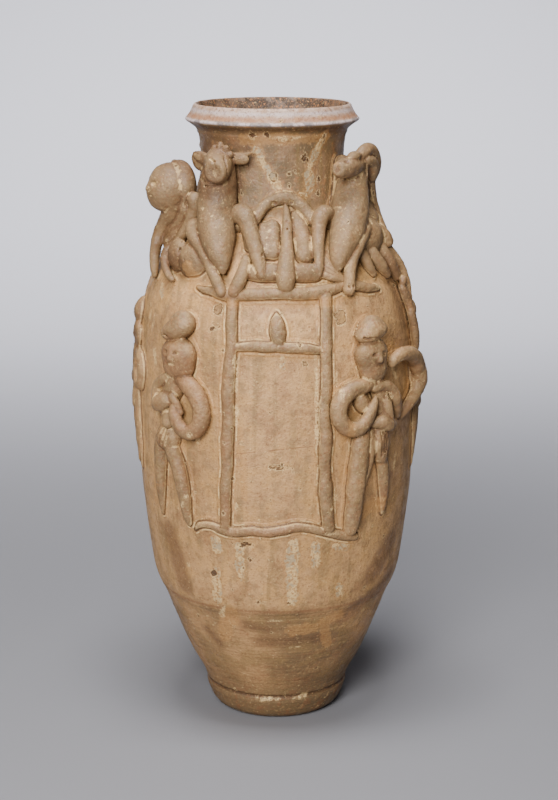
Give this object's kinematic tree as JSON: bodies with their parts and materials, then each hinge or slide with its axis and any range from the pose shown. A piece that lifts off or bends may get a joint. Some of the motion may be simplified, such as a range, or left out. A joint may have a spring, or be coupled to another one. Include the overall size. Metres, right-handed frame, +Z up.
{
  "type": "ovoid jar",
  "caption": "Tall ovoid stoneware jar with a flared rim, a coil-built door on the front, guards beside it and seated beasts around the shoulder, ash-glazed.",
  "frame": {"origin": "centre of the flat standing face, on the foot's axis", "axes": "+Z up along the jar, -Y out of the front door, +X to the right seen from the front"},
  "size_m": [0.2136, 0.2036, 0.45],
  "materials": {
    "ash_glazed_stoneware": "thin worn ash glaze over brown stoneware, satin with glassy drips, pits and flaked patches"
  },
  "bodies": {
    "root": {"jar": "ash_glazed_stoneware"}
  },
  "joints": []
}
